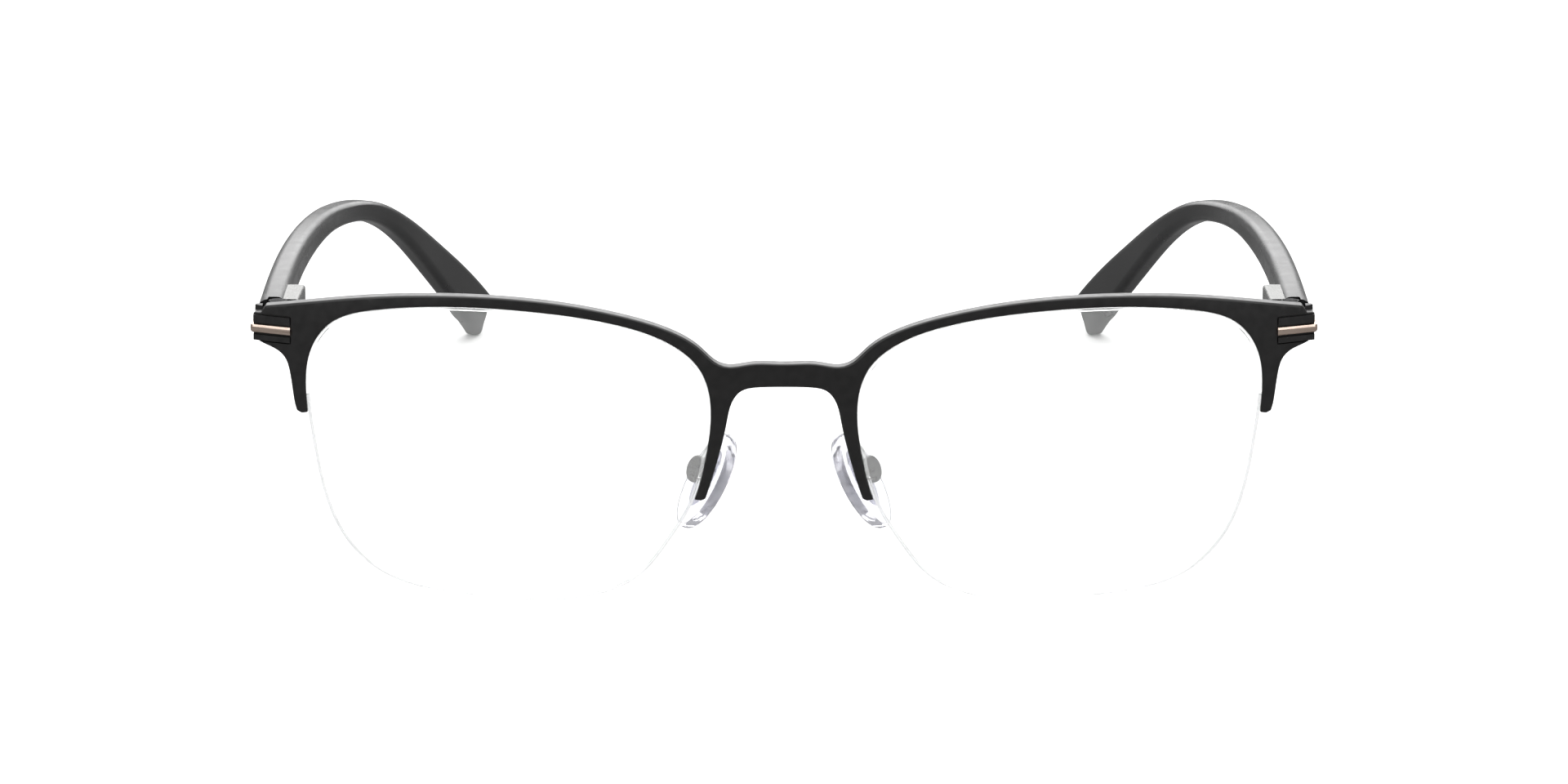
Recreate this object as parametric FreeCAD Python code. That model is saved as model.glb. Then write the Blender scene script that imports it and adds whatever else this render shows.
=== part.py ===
import FreeCAD, Part

import math
import os

# Half-rim spectacles standing open on a table, on the lower edges of the lenses and the two temple tips.
# +X is the wearer's left, +Y runs from the lenses back to the ears, +Z is up.  Lengths are millimetres.
# "left" and "right" are the wearer's own.  Everything is drawn for the left (+X) side and mirrored.

V = FreeCAD.Vector
ORIGIN = V(0, 0, 0)
DEPTH_TO_CENTRE = 71.3   # from the foremost point of the lenses to the middle of the whole depth

# Front: a 3-D curved metal sheet that follows the lenses' base curve.
BASE_RADIUS = 120.0      # radius of each eye's front surface
EYE_CENTRE_X = 36.6
EYE_CENTRE_Z = 20.65
FACE_FORM = 5.0          # degrees that each eye turns outwards
BRIDGE_HALF = 9.0        # the two eye surfaces are blended inside this half width
SHEET = 1.9              # thickness of the metal front, front to back

# Lens, its groove, the clear liner under the metal rim and the nylon cord below it.
LENS_OUTLINE = (
    (33.0, 0.05), (45.0, 0.8), (54.5, 3.3), (59.6, 8.4), (62.1, 14.5), (63.5, 22.0), (64.2, 28.5),
    (63.6, 33.6), (60.6, 37.9), (54.5, 40.0), (44.6, 40.9), (33.0, 40.5), (22.5, 38.9), (15.2, 36.2),
    (11.2, 32.6), (9.8, 27.0), (10.4, 21.0), (12.2, 14.3), (15.4, 8.8), (20.0, 3.3), (26.0, 0.75),
)
LENS_SET_BACK = 0.10     # lens surface behind the metal's front surface
LENS_THICK = 2.0
LENS_FIT = 0.05          # gap between the lens edge and the metal rim
GROOVE_FRONT = 0.75      # from the front surface to the groove in lens edge and rim
GROOVE_WIDE = 0.6
RIM_GROOVE_DEEP = 0.35
LENS_GROOVE_DEEP = 0.5
CORD_WIDE = 0.5
CORD_END_TEMPLE_Z = 27.9  # where the cord's end is tucked behind the outer leg of the rim
CORD_END_NOSE_Z = 17.4    # and behind the nose leg

# Outline of the metal front, from the middle outwards, as (x, z).
BROW_TOP = (
    (0.0, 33.2), (4.6, 33.25), (7.3, 32.95), (8.9, 33.45), (11.0, 35.35), (15.2, 38.0), (21.7, 40.1),
    (28.2, 41.4), (36.4, 42.25), (44.6, 42.4), (54.5, 41.8), (64.0, 40.4), (71.2, 39.12),
)
NOSE_ARCH = (
    (0.0, 30.1), (3.6, 30.05), (5.7, 29.6), (6.9, 28.2), (7.6, 25.6), (8.5, 21.6), (9.6, 17.7), (10.3, 15.5),
)
OUTER_LEG = (
    (71.2, 34.95), (70.0, 34.3), (68.2, 33.65), (67.0, 32.6), (66.4, 30.8), (66.05, 28.4), (65.75, 26.4),
)
NOSE_LEG_BOTTOM = 14.6
OUTER_LEG_BOTTOM = 25.3
CORNER_CUT = (70.25, 38.42)   # the top outer corner is stepped down from here outwards

# Ribbed corner plate let into the front's outer ends, with a coloured bar along its middle.
PLATE_X = (66.2, 71.35)
PLATE_Z = (34.55, 38.3)
PLATE_DEEP = 0.6         # depth of its pocket
PLATE_SUNK = 0.3         # its flat ground lies this far behind the front surface
RIB_PROUD = 0.2
RIBS_Z = ((37.1, 38.1), (34.75, 35.5))
BAR_Z = (35.75, 36.85)
BAR_PROUD = 0.45
BAR_SUNK = 0.42          # the plate's ground runs on behind the bar
BAR_OUTER_X = 71.8
BAR_BACK_Y = 12.3        # the bar wraps round the corner and runs back to here
BAR_SIDE_THICK = 0.55

# Hinge, in its own frame: origin on the pin, +y along the open temple, +z up the pin.
HINGE = V(68.3, 13.3, 37.0)
TEMPLE_DROP = 4.5        # degrees that the open temple slopes down
KNUCKLE_R = 1.25
PIN_R = 0.6
PIN_FIT = 0.05           # radial running clearance of the moving knuckle
KNUCKLE_GAP = 0.05
MIDDLE_HALF = 0.85       # half height of the moving middle knuckle
HINGE_HALF = 2.2         # half height of the whole hinge
BLOCK_BACK = -0.9        # rear face of the end piece beside the temple
BLOCK_STEP = -1.9        # and behind the knuckles
BLOCK_TOP = 1.5          # top of the block between the sheet and the knuckles
BLOCK_INNER = -1.65
BLOCK_OUTER = 3.1
WRAP_INNER = 1.95        # outside of here the front's side wrap runs back along the block
WRAP_TOP = (0.15, 1.93)  # height of its sloping top, ahead and at its rear end
BLOCK_BOTTOM = -2.4
BLOCK_AHEAD = -8.0       # the block reaches forward into the sheet
HOUSING_X = (-2.7, 0.6)
HOUSING_Y = (1.5, 12.6)
HOUSING_HALF = 2.05
ROD_X = -1.2             # the spring's rod lies inwards of the pin
ROD_R = 0.4
ROD_END = 11.2
SHOULDER = (3.7, 4.2)    # wall that the spring pushes against
SPRING_R = 0.68
SPRING_WIRE = 0.13
SPRING_TURNS = 9
COLLAR_THICK = 0.8
SPRING_BORE_R = 0.9

# Temple: points on its centre line (x, y, z) with the height and thickness of its rounded section there.
TEMPLE_STATIONS = (
    (69.1, 13.02, 36.95, 4.9, 3.70), (69.6, 30.0, 35.85, 4.6, 3.70), (69.75, 52.0, 34.6, 4.3, 3.70),
    (68.6, 76.0, 33.1, 3.8, 3.70), (66.2, 92.0, 31.5, 3.2, 3.70), (62.4, 103.5, 28.9, 3.2, 3.65),
    (58.2, 114.0, 23.2, 4.0, 3.60), (54.9, 123.0, 16.8, 5.2, 3.45), (51.8, 131.0, 10.6, 6.4, 3.25),
    (48.4, 139.9, 3.12, 7.5, 2.90),
)
TEMPLE_STEPS = 16        # even steps between the sections that the temple is lofted through
TIP_END = ((0.0, 1.0, 1.0), (0.45, 0.965, 0.95), (0.85, 0.86, 0.82), (1.15, 0.68, 0.58))   # distance, shares
SECTION_ROUND = 0.34     # corner radius as a share of the smaller side
CORE_SHARES = (0.42, 0.25)    # the steel core's height and thickness, as shares of the temple's
CORE_STEPS = (2, 14)     # the core runs between these steps

# Nose pad, in its own frame: +x along its length (up), +y across, +z away from the nose, origin mid pad.
PAD_CUP = V(11.6, 9.2, 16.8)   # pivot of the pad, in the middle of its metal cup
PAD_FRONTAL = 27.6       # degrees that the pad's length leans inwards at the top
PAD_SPLAY = 30.0         # degrees that its face turns towards the back
PAD_HALF_LONG = 7.2
PAD_HALF_WIDE = 3.9
PAD_THICK = 1.9
PAD_ROUND = 0.85
CUP_TO_PAD = 2.25        # from the pad's middle plane to the pivot
CUP_ABOVE_MIDDLE = 1.4   # pivot above the pad's middle, along its length
CUP_R = 1.9
CUP_BORE_R = 1.35
CUP_FRONT = -0.85        # rim of the cup, towards the pad
CUP_FLOOR = 0.45
CUP_BACK = 0.85
PAD_SCREW_R = 0.33
PAD_SCREW_FIT = 0.05
ARM_R = 0.5
ARM_ROUTE = (
    V(9.55, 2.9, 20.9), V(9.5, 6.2, 21.4), V(9.75, 8.3, 20.6), V(10.7, 9.0, 18.9), V(11.5, 9.15, 17.1),
)


def box(x, y, z):
    """Box between three (low, high) pairs."""
    return Part.makeBox(x[1] - x[0], y[1] - y[0], z[1] - z[0], V(x[0], y[0], z[0]))


def rod(radius, start, end):
    """Round bar between two points."""
    along = end - start
    return Part.makeCylinder(radius, along.Length, start, along)


def mirrored(shape):
    return shape.mirror(ORIGIN, V(1, 0, 0))


def plate_from(points, low, high):
    """Flat polygon (x, y) raised between two heights."""
    corners = [V(x, y, low) for x, y in points]
    return Part.Face(Part.makePolygon(corners + corners[:1])).extrude(V(0, 0, high - low))


# ---- the curved front surface and what follows it ----

def front_depth(x, z):
    """Depth of the front surface: a sphere over each eye, and a smooth blend across the bridge."""
    x = abs(x)
    centre_x = EYE_CENTRE_X - BASE_RADIUS * math.sin(math.radians(FACE_FORM))
    across = max(x, BRIDGE_HALF) - centre_x
    root = math.sqrt(BASE_RADIUS ** 2 - across ** 2 - (z - EYE_CENTRE_Z) ** 2)
    depth = BASE_RADIUS - root
    if x < BRIDGE_HALF:
        depth += across / root * (x ** 2 - BRIDGE_HALF ** 2) / (2 * BRIDGE_HALF)
    return depth


def front_layer(start, thickness):
    """Solid sheet whose faces repeat the front surface, starting this far behind it."""
    rows = []
    for i in range(-19, 20):
        rows.append([V(4.0 * i, front_depth(4.0 * i, 6.0 * k) + start, 6.0 * k) for k in range(-1, 9)])
    surface = Part.BSplineSurface()
    surface.interpolate(rows)
    return surface.toShape().extrude(V(0, thickness, 0))


def curve_through(points, closed=False):
    """Smooth curve through (x, z) points in the plane Y = 0."""
    curve = Part.BSplineCurve()
    curve.interpolate(Points=[V(x, 0, z) for x, z in points], PeriodicFlag=closed)
    return curve


def lens_curve(grow):
    """The lens outline, moved outwards by this much."""
    base = curve_through(LENS_OUTLINE, closed=True)
    first, last = base.FirstParameter, base.LastParameter
    count = 72
    moved = []
    for i in range(count):
        at = first + (last - first) * i / count
        point = base.value(at)
        along = base.tangent(at)[0]
        moved.append((point.x + grow * along.z, point.z - grow * along.x))
    return curve_through(moved, closed=True)


def through_front(edges):
    """Closed outline in the front view, raised through the whole front, front to back."""
    face = Part.Face(Part.Wire(edges))
    face.translate(V(0, -6, 0))
    return face.extrude(V(0, 26, 0))


def lens_prism(grow):
    return through_front([lens_curve(grow).toShape()])


def lens_ring(inner, outer, start, thickness):
    """Ring that follows the lens edge, between two offsets of its outline."""
    ring = lens_prism(outer).cut(lens_prism(inner))
    return ring.common(front_layer(start, thickness))


def line(a, b):
    return Part.LineSegment(V(a[0], 0, a[1]), V(b[0], 0, b[1])).toShape()


def arc(a, b, c):
    return Part.Arc(V(a[0], 0, a[1]), V(b[0], 0, b[1]), V(c[0], 0, c[1])).toShape()


def flip(points):
    return [(-x, z) for x, z in points]


def leg_edges(side):
    """Outer leg, the cut across the eye and the nose leg, drawn for x times side."""
    outer_end = OUTER_LEG[-1]
    nose_end = NOSE_ARCH[-1]
    outer_foot = (outer_end[0] - 0.95, OUTER_LEG_BOTTOM)
    nose_foot = (nose_end[0] + 0.75, NOSE_LEG_BOTTOM)
    eye_outer = (62.4, OUTER_LEG_BOTTOM)
    eye_nose = (14.6, NOSE_LEG_BOTTOM)

    def at(point):
        return (side * point[0], point[1])

    outer_turn = at((outer_end[0] - 0.25, OUTER_LEG_BOTTOM + 0.28))
    nose_turn = at((nose_end[0] + 0.22, NOSE_LEG_BOTTOM + 0.25))
    return [
        line((side * BROW_TOP[-1][0], BROW_TOP[-1][1]), at(OUTER_LEG[0])),
        curve_through([at(p) for p in OUTER_LEG]).toShape(),
        arc(at(outer_end), outer_turn, at(outer_foot)),
        line(at(outer_foot), at(eye_outer)),
        line(at(eye_outer), at(eye_nose)),
        line(at(eye_nose), at(nose_foot)),
        arc(at(nose_foot), nose_turn, at(nose_end)),
    ]


def front_outline():
    """The whole front seen from ahead, with the eyes still filled."""
    top = curve_through(flip(BROW_TOP[:0:-1]) + list(BROW_TOP))
    arch = curve_through(flip(NOSE_ARCH[:0:-1]) + list(NOSE_ARCH))
    edges = [top.toShape(), arch.toShape()] + leg_edges(1) + leg_edges(-1)
    return Part.__sortEdges__(edges)


def plate_pocket():
    """Room for the ribbed plate in the front's outer end."""
    room = box((PLATE_X[0], BAR_OUTER_X + 1), (0, 20), PLATE_Z)
    return room.common(front_layer(-2.0, 2.0 + PLATE_DEEP))


def make_front_frame():
    """Brow, bridge, nose legs and outer legs in one curved metal sheet."""
    eye = lens_prism(0)
    sheet = through_front(front_outline()).common(front_layer(0, SHEET))
    sheet = sheet.cut(eye).cut(mirrored(eye))
    groove = lens_ring(-1.0, RIM_GROOVE_DEEP, GROOVE_FRONT, GROOVE_WIDE)
    corner = box((CORNER_CUT[0], 80), (-5, 25), (CORNER_CUT[1], 50))
    for cutter in (groove, plate_pocket(), corner):
        sheet = sheet.cut(cutter).cut(mirrored(cutter))
    return sheet


def make_lens():
    blank = lens_prism(-LENS_FIT).common(front_layer(LENS_SET_BACK, LENS_THICK))
    return blank.cut(lens_ring(-LENS_FIT - LENS_GROOVE_DEEP, 1.0, GROOVE_FRONT, GROOVE_WIDE))


def below_rim(gap):
    """Everything below the ends of the rim's legs, which hold the cord's ends."""
    slope = (CORD_END_TEMPLE_Z - CORD_END_NOSE_Z) / (64.0 - 11.0)
    low = CORD_END_NOSE_Z - slope * 11.0 + gap
    corners = [(0, -9), (80, -9), (80, low + 80 * slope), (0, low)]
    return through_front([line(corners[i - 1], corners[i]) for i in range(4)])


def make_rim_liner():
    fit = 0.03
    ring = lens_ring(
        -LENS_FIT - LENS_GROOVE_DEEP + fit, RIM_GROOVE_DEEP - fit, GROOVE_FRONT + fit, GROOVE_WIDE - 2 * fit
    )
    return ring.cut(below_rim(0.3))


def make_nylon_cord():
    start = GROOVE_FRONT + (GROOVE_WIDE - CORD_WIDE) / 2
    ring = lens_ring(-LENS_FIT - LENS_GROOVE_DEEP, -LENS_FIT - 0.02, start, CORD_WIDE)
    return ring.common(below_rim(0))


# ---- the ribbed corner plate and its bar ----

def bar_strip():
    """Coloured bar that lies in the plate's middle groove and turns the corner."""
    front = box((PLATE_X[0] + 0.05, BAR_OUTER_X), (0, 20), BAR_Z)
    front = front.common(front_layer(-BAR_PROUD, BAR_PROUD + BAR_SUNK))
    corner_y = front_depth(BAR_OUTER_X, BAR_Z[0]) - BAR_PROUD
    side = box((BAR_OUTER_X - BAR_SIDE_THICK, BAR_OUTER_X), (corner_y, BAR_BACK_Y), BAR_Z)
    side = side.cut(front_layer(-8.0, 8.0 - BAR_PROUD))
    return front.fuse(side)


def make_corner_plate():
    ground = box((PLATE_X[0] + 0.05, PLATE_X[1]), (0, 20), (PLATE_Z[0] + 0.05, PLATE_Z[1] - 0.05))
    plate = ground.common(front_layer(PLATE_SUNK, PLATE_DEEP - PLATE_SUNK))
    for low, high in RIBS_Z:
        rib = box((PLATE_X[0] + 0.1, PLATE_X[1]), (0, 20), (low, high))
        plate = plate.fuse(rib.common(front_layer(-RIB_PROUD, PLATE_DEEP + RIB_PROUD)))
    return plate.cut(bar_strip())


# ---- spring hinge, drawn in the hinge's own frame ----

def at_hinge(shape):
    """Carry a shape from the hinge's frame to its place."""
    placed = shape.copy()
    placed.rotate(ORIGIN, V(1, 0, 0), -TEMPLE_DROP)
    placed.translate(HINGE)
    return placed


def make_end_piece():
    """Block behind the sheet that carries the hinge, with the side wrap that stops the temple."""
    plan = [
        (BLOCK_INNER, BLOCK_AHEAD), (BLOCK_OUTER, BLOCK_AHEAD), (BLOCK_OUTER, -1.5),
        (BLOCK_OUTER - 0.35, BLOCK_BACK), (1.35, BLOCK_BACK), (1.35, BLOCK_STEP), (BLOCK_INNER, BLOCK_STEP),
    ]
    block = plate_from(plan, BLOCK_BOTTOM, BLOCK_TOP + 1)
    block = block.cut(box((BLOCK_INNER - 1, WRAP_INNER), (BLOCK_AHEAD - 1, 1), (BLOCK_TOP, BLOCK_TOP + 2)))
    slope = [
        V(WRAP_INNER - 1, BLOCK_AHEAD, WRAP_TOP[0]), V(WRAP_INNER - 1, BLOCK_BACK, WRAP_TOP[1]),
        V(WRAP_INNER - 1, BLOCK_BACK, 9), V(WRAP_INNER - 1, BLOCK_AHEAD, 9),
    ]
    above = Part.Face(Part.makePolygon(slope + slope[:1])).extrude(V(9, 0, 0))
    block = at_hinge(block.cut(above.common(box((WRAP_INNER, 9), (-9, 9), (-9, 9)))))
    block = block.cut(front_layer(-8.0, 8.0 + SHEET))
    side_strip = box((BAR_OUTER_X - BAR_SIDE_THICK, BAR_OUTER_X + 1), (0, BAR_BACK_Y), BAR_Z)
    return block.cut(side_strip)


def make_front_hinge():
    """The fixed half of the hinge: a foot and two knuckles."""
    web = 0.95
    low_edge = MIDDLE_HALF + KNUCKLE_GAP
    hinge = box((-web, 1.2), (BLOCK_STEP, BLOCK_STEP + 0.5), (-HINGE_HALF, HINGE_HALF))
    for low, high in ((low_edge, HINGE_HALF), (-HINGE_HALF, -low_edge)):
        knuckle = rod(KNUCKLE_R, V(0, 0, low), V(0, 0, high))
        hinge = hinge.fuse(knuckle).fuse(box((-web, web), (BLOCK_STEP, 0), (low, high)))
    hinge = hinge.cut(rod(PIN_R, V(0, 0, -5), V(0, 0, 5)))
    return hinge.cut(rod(1.0, V(0, 0, HINGE_HALF - 0.5), V(0, 0, 5))).removeSplitter()


def make_hinge_screw():
    head = rod(0.97, V(0, 0, HINGE_HALF - 0.5), V(0, 0, HINGE_HALF + 0.05))
    slot = box((-1, 1), (-0.13, 0.13), (HINGE_HALF - 0.15, HINGE_HALF + 1))
    shank = rod(PIN_R, V(0, 0, -HINGE_HALF - 0.2), V(0, 0, HINGE_HALF - 0.5))
    return head.cut(slot).fuse(shank).removeSplitter()


def make_hinge_slider():
    """Middle knuckle with its neck, shank and rod."""
    neck = [(-1.75, 3.0), (-0.45, 3.0), (-0.45, 1.35), (0.5, 1.0), (0.0, 0.0), (-1.1, 0.4), (-1.75, 1.2)]
    knuckle = rod(KNUCKLE_R, V(0, 0, -MIDDLE_HALF), V(0, 0, MIDDLE_HALF))
    slider = knuckle.fuse(plate_from(neck, -0.65, 0.65))
    slider = slider.fuse(rod(ROD_R, V(ROD_X, 2.5, 0), V(ROD_X, ROD_END, 0)))
    return slider.cut(rod(PIN_R + PIN_FIT, V(0, 0, -5), V(0, 0, 5))).removeSplitter()


def make_spring_collar():
    collar = rod(SPRING_R + 0.17, V(ROD_X, ROD_END - COLLAR_THICK, 0), V(ROD_X, ROD_END, 0))
    return collar.cut(rod(ROD_R, V(ROD_X, 0, 0), V(ROD_X, 20, 0)))


def make_hinge_spring():
    """Coil round the rod, between the housing's shoulder and the collar."""
    start = SHOULDER[1] + SPRING_WIRE + 0.02
    length = ROD_END - COLLAR_THICK - SPRING_WIRE - 0.02 - start
    helix = Part.makeHelix(length / SPRING_TURNS, length, SPRING_R)
    ring = Part.Wire(Part.makeCircle(SPRING_WIRE, V(SPRING_R, 0, 0), V(0, 1, 0)))
    coil = Part.Wire(helix).makePipeShell([ring], True, True)
    coil.rotate(ORIGIN, V(1, 0, 0), -90)
    coil.translate(V(ROD_X, start, 0))
    return coil


def make_hinge_housing():
    """Metal box on the temple's inner face that hides the spring."""
    shell = box(HOUSING_X, HOUSING_Y, (-HOUSING_HALF, HOUSING_HALF))
    rounded = [e for e in shell.Edges if abs(e.CenterOfMass.x - HOUSING_X[0]) < 0.01]
    shell = shell.makeFillet(0.5, rounded)
    shank_room = box((-1.8, -0.4), (0, SHOULDER[0]), (-0.7, 0.7))
    rod_room = rod(ROD_R + 0.05, V(ROD_X, 0, 0), V(ROD_X, 8, 0))
    spring_room = rod(SPRING_BORE_R, V(ROD_X, SHOULDER[1], 0), V(ROD_X, HOUSING_Y[1] - 0.5, 0))
    return shell.cut(shank_room).cut(rod_room).cut(spring_room)


# ---- temple ----

def section(place, along, high, wide):
    """Rounded rectangle across a path, upright in its own plane."""
    across = along.cross(V(0, 0, 1)).normalize()
    up = across.cross(along).normalize()
    radius = SECTION_ROUND * min(high, wide)
    half_h = high / 2
    half_w = wide / 2
    diagonal = radius * (1 - math.sqrt(0.5))

    def at(w, h):
        return place + across * w + up * h

    edges = []
    for sw, sh, first_flat in ((1, 1, True), (-1, 1, False), (-1, -1, True), (1, -1, False)):
        side_point = at(sw * half_w, sh * (half_h - radius))
        end_point = at(sw * (half_w - radius), sh * half_h)
        middle = at(sw * (half_w - diagonal), sh * (half_h - diagonal))
        turn = (side_point, middle, end_point) if first_flat else (end_point, middle, side_point)
        edges.append(Part.Arc(*turn).toShape())
    joined = []
    for i in range(4):
        joined.append(edges[i])
        start = edges[i].valueAt(edges[i].LastParameter)
        following = edges[(i + 1) % 4]
        joined.append(Part.LineSegment(start, following.valueAt(following.FirstParameter)).toShape())
    return Part.Wire(joined)


def temple_curves():
    """The temple's centre line, its height and thickness at the same parameters, and its length."""
    places = [V(*station[:3]) for station in TEMPLE_STATIONS]
    sizes = [V(station[3], station[4], 0) for station in TEMPLE_STATIONS]
    lengths = [0.0]
    for before, after in zip(places, places[1:]):
        lengths.append(lengths[-1] + before.distanceToPoint(after))
    path = Part.BSplineCurve()
    path.interpolate(Points=places, Parameters=lengths)
    size = Part.BSplineCurve()
    size.interpolate(Points=sizes, Parameters=lengths)
    return path, size, lengths[-1]


def temple_sections(first, last, high_share, wide_share):
    """Sections from one even step to another, as shares of the temple's own size."""
    path, size, length = temple_curves()
    wires = []
    for i in range(first, last + 1):
        at = length * i / TEMPLE_STEPS
        high, wide, _ = size.value(at)
        wires.append(section(path.value(at), path.tangent(at)[0], high * high_share, wide * wide_share))
    return wires


def tip_sections():
    """Shrinking sections that round off the end of the tip."""
    path, size, length = temple_curves()
    high, wide, _ = size.value(length)
    along = path.tangent(length)[0]
    end = path.value(length)
    return [section(end + along * gone, along, high * tall, wide * thick) for gone, tall, thick in TIP_END]


def make_temple_core():
    """Steel strip that stiffens the plastic temple."""
    return Part.makeLoft(temple_sections(*CORE_STEPS, *CORE_SHARES), True)


def make_temple(core):
    body = Part.makeLoft(temple_sections(0, TEMPLE_STEPS, 1, 1), True)
    body = body.fuse(Part.makeLoft(tip_sections(), True))
    knuckle_room = at_hinge(box((-4, 1.4), (-3, HOUSING_Y[0] + 0.05), (-5, 5)))
    housing_room = at_hinge(box((-4, HOUSING_X[1]), (0, HOUSING_Y[1]), (-HOUSING_HALF, HOUSING_HALF)))
    return body.cut(knuckle_room).cut(housing_room).cut(core)


# ---- nose pad, drawn in the pad's own frame ----

def at_pad(shape):
    """Carry a shape from the pad's frame to its place behind the nose leg."""
    lean = math.radians(PAD_FRONTAL)
    splay = math.radians(PAD_SPLAY)
    length = V(-math.sin(lean), 0, math.cos(lean))
    away = V(math.cos(splay) * math.cos(lean), -math.sin(splay), math.cos(splay) * math.sin(lean))
    turn = FreeCAD.Rotation(length, away.cross(length), away, "XZY")
    middle = PAD_CUP - away * CUP_TO_PAD - length * CUP_ABOVE_MIDDLE
    placed = shape.copy()
    placed.Placement = FreeCAD.Placement(middle, turn).multiply(placed.Placement)
    return placed


def pivot(across=0.0, away=0.0):
    """Point near the pad's pivot, in the pad's frame."""
    return V(CUP_ABOVE_MIDDLE, across, CUP_TO_PAD + away)


def make_nose_pad(insert):
    outline = Part.Ellipse(ORIGIN, PAD_HALF_LONG, PAD_HALF_WIDE).toShape()
    pad = Part.Face(Part.Wire(outline)).extrude(V(0, 0, PAD_THICK))
    pad.translate(V(0, 0, -PAD_THICK / 2))
    rims = [e for e in pad.Edges if e.Length > 10]
    return pad.makeFillet(PAD_ROUND, rims).cut(insert)


def make_pad_insert():
    """Stiff plate moulded into the pad, with the tab that the screw holds."""
    outline = Part.Ellipse(ORIGIN, 4.4, 1.9).toShape()
    leaf = Part.Face(Part.Wire(outline)).extrude(V(0, 0, 0.5))
    leaf.translate(V(0.4, 0, -0.25))
    tab = box((CUP_ABOVE_MIDDLE - 0.55, CUP_ABOVE_MIDDLE + 0.55), (-0.5, 0.5), (0, CUP_TO_PAD + 0.3))
    tab = leaf.fuse(tab)
    return tab.cut(rod(PAD_SCREW_R + PAD_SCREW_FIT, pivot(-2), pivot(2))).removeSplitter()


def make_pad_box():
    """Round metal cup that takes the pad's tab."""
    cup = rod(CUP_R, pivot(0, CUP_FRONT), pivot(0, CUP_BACK))
    cup = cup.makeFillet(0.35, [e for e in cup.Edges if abs(e.CenterOfMass.z - CUP_TO_PAD - CUP_BACK) < 0.01])
    cup = cup.cut(rod(CUP_BORE_R, pivot(0, CUP_FRONT - 1), pivot(0, CUP_FLOOR)))
    return cup.cut(rod(PAD_SCREW_R, pivot(-3), pivot(3)))


def make_pad_screw():
    shank = rod(PAD_SCREW_R, pivot(-CUP_R - 0.05), pivot(CUP_R))
    head = rod(0.6, pivot(CUP_R - 0.02), pivot(CUP_R + 0.3))
    slot = box((CUP_ABOVE_MIDDLE - 1, CUP_ABOVE_MIDDLE + 1), (CUP_R + 0.15, CUP_R + 1),
               (CUP_TO_PAD - 0.09, CUP_TO_PAD + 0.09))
    return shank.fuse(head).cut(slot).removeSplitter()


def tube(route, radius):
    """Round wire along straight runs joined by tangent arcs."""
    edges = []
    start = route[0]
    for before, corner, after in zip(route, route[1:], route[2:]):
        into = corner - before
        out = after - corner
        reach = 0.45 * min(into.Length, out.Length)
        into.normalize()
        out.normalize()
        first = corner - into * reach
        last = corner + out * reach
        half_turn = into.getAngle(out) / 2
        inward = (out - into).normalize()
        middle = corner + inward * (reach * (1 - math.cos(half_turn)) / math.sin(half_turn))
        edges.append(Part.LineSegment(start, first).toShape())
        edges.append(Part.Arc(first, middle, last).toShape())
        start = last
    edges.append(Part.LineSegment(start, route[-1]).toShape())
    ring = Part.Wire(Part.makeCircle(radius, route[0], route[1] - route[0]))
    return Part.Wire(edges).makePipeShell([ring], True, True)


def make_pad_arm():
    """Wire from the back of the nose leg to the side of the cup."""
    arm = tube(ARM_ROUTE, ARM_R)
    cup = at_pad(rod(CUP_R, pivot(0, CUP_FRONT), pivot(0, CUP_BACK)))
    return arm.cut(front_layer(-8.0, 8.0 + SHEET)).cut(cup)


# ---- assembly ----

def one_side():
    """Every piece that the object has twice, drawn for the left side."""
    core = make_temple_core()
    insert = make_pad_insert()
    return {
        "lens": make_lens(),
        "rim_liner": make_rim_liner(),
        "nylon_cord": make_nylon_cord(),
        "corner_plate": make_corner_plate(),
        "accent_bar": bar_strip(),
        "end_piece": make_end_piece(),
        "front_hinge": at_hinge(make_front_hinge()),
        "hinge_screw": at_hinge(make_hinge_screw()),
        "hinge_slider": at_hinge(make_hinge_slider()),
        "spring_collar": at_hinge(make_spring_collar()),
        "hinge_spring": at_hinge(make_hinge_spring()),
        "hinge_housing": at_hinge(make_hinge_housing()),
        "temple": make_temple(core),
        "temple_core": core,
        "nose_pad": at_pad(make_nose_pad(insert)),
        "pad_insert": at_pad(insert),
        "pad_box": at_pad(make_pad_box()),
        "pad_screw": at_pad(make_pad_screw()),
        "pad_arm": make_pad_arm(),
    }


def export(name, shape):
    placed = shape.copy()
    placed.translate(V(0, -DEPTH_TO_CENTRE, 0))
    placed.exportStep(os.path.join("parts", name + ".step"))


os.makedirs("parts", exist_ok=True)
export("front_frame", make_front_frame())
for piece, shape in one_side().items():
    export(piece + "_left", shape)
    export(piece + "_right", mirrored(shape))
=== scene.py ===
import math

import bmesh
import bpy
import numpy as np
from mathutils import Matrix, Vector
from mathutils.geometry import delaunay_2d_cdt


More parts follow.
